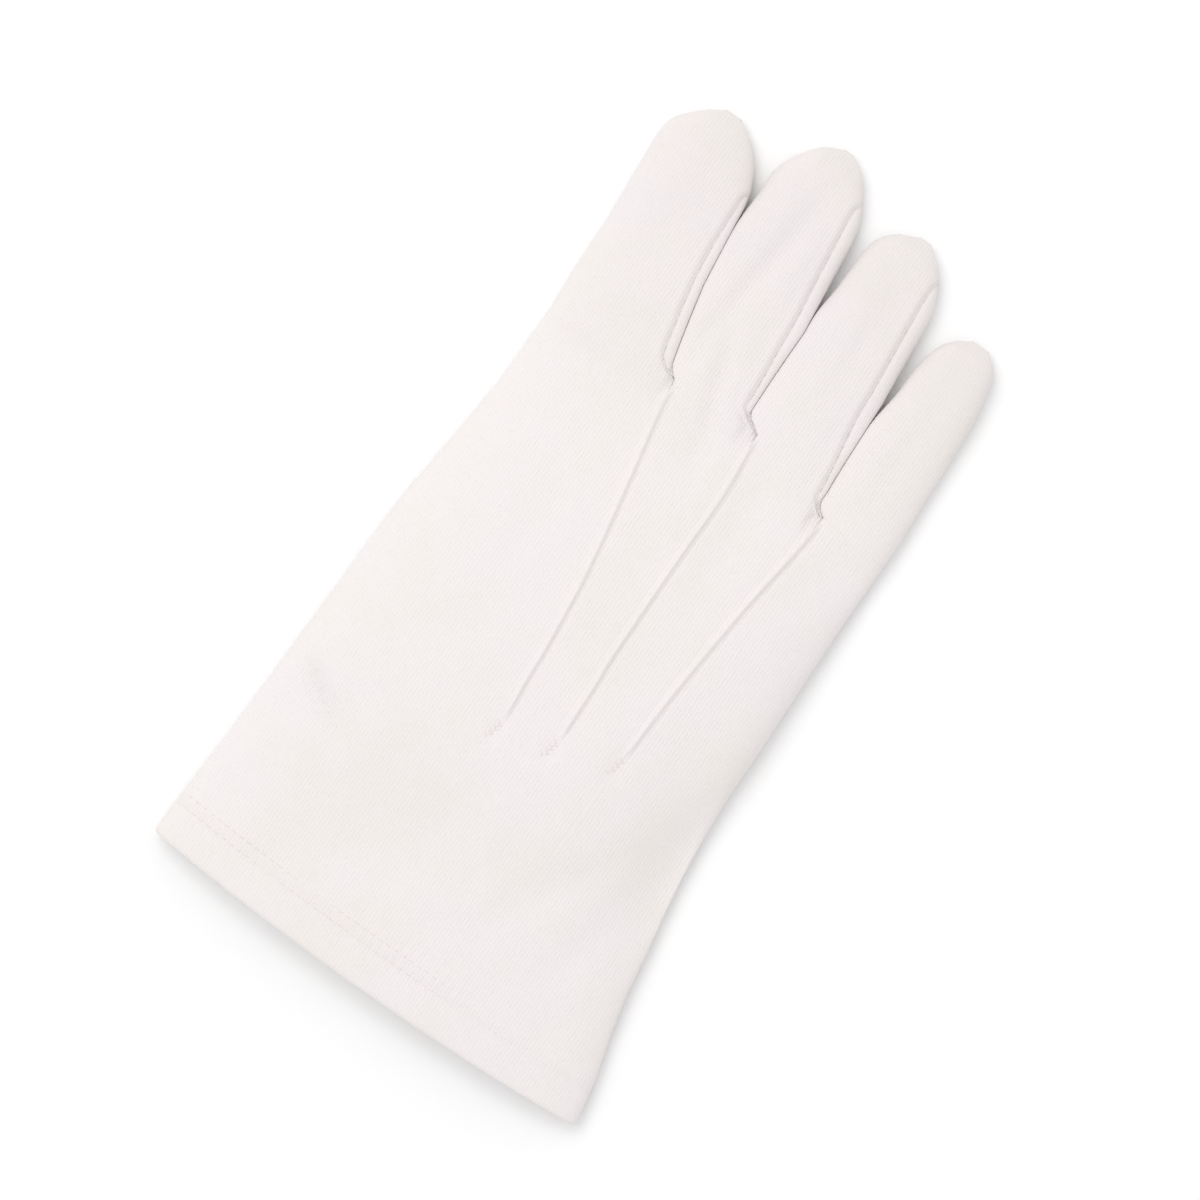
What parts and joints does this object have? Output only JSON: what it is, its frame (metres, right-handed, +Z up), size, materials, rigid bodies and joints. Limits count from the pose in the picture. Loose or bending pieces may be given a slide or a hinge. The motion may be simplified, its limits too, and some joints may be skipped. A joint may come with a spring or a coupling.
{
  "type": "cotton polishing glove",
  "caption": "Right-hand knitted cotton glove lying flat, back up, with raised points, side strips between the fingers, a folded-in thumb and a hemmed cuff.",
  "frame": {"origin": "on the palm's underside, which is the surface that the glove lies on, at the middle of the wrist, 40 mm from the cuff edge", "axes": "+Y towards the fingertips, +X towards the little finger, +Z up out of the back of the hand"},
  "size_m": [0.13, 0.2443, 0.0173],
  "materials": {
    "back_cotton": "off-white interlock cotton knit, matt",
    "palm_cotton": "off-white interlock cotton knit, matt",
    "side_cotton": "off-white interlock cotton knit, matt",
    "hem_cotton": "off-white interlock cotton knit, turned in and stitched"
  },
  "bodies": {
    "root": {"back": "back_cotton", "palm": "palm_cotton", "thumb": "palm_cotton", "cuff_hem": "hem_cotton", "fourchette_index_middle": "side_cotton", "fourchette_middle_ring": "side_cotton", "fourchette_ring_little": "side_cotton"}
  },
  "joints": []
}
